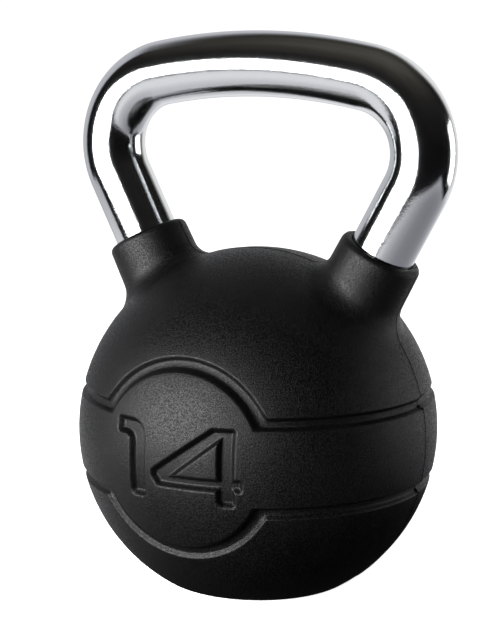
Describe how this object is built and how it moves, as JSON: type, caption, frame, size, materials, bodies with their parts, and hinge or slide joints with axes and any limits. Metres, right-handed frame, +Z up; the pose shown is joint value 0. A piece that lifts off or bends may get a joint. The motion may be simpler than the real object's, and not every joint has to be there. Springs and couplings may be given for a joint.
{
  "type": "kettlebell",
  "caption": "Kettlebell: a round rubber-covered ball with a flat base, a grooved belt and numeral medallions, and a bent chromed bar handle rising from two rubber collars.",
  "frame": {"origin": "centre of the flat base, on the surface that the kettlebell stands on", "axes": "+Z up, +X along the handle, -Y towards the front medallion; the handle lies in the plane Y = 0"},
  "size_m": [0.201, 0.1798, 0.272],
  "materials": {
    "chromed_bar": "polished",
    "iron_core": "matte",
    "weld_steel": "matte",
    "black_rubber": "satin"
  },
  "bodies": {
    "root": {"handle": "chromed_bar", "core": "iron_core", "weld_beads": "weld_steel", "front_cover": "black_rubber", "back_cover": "black_rubber"}
  },
  "joints": []
}
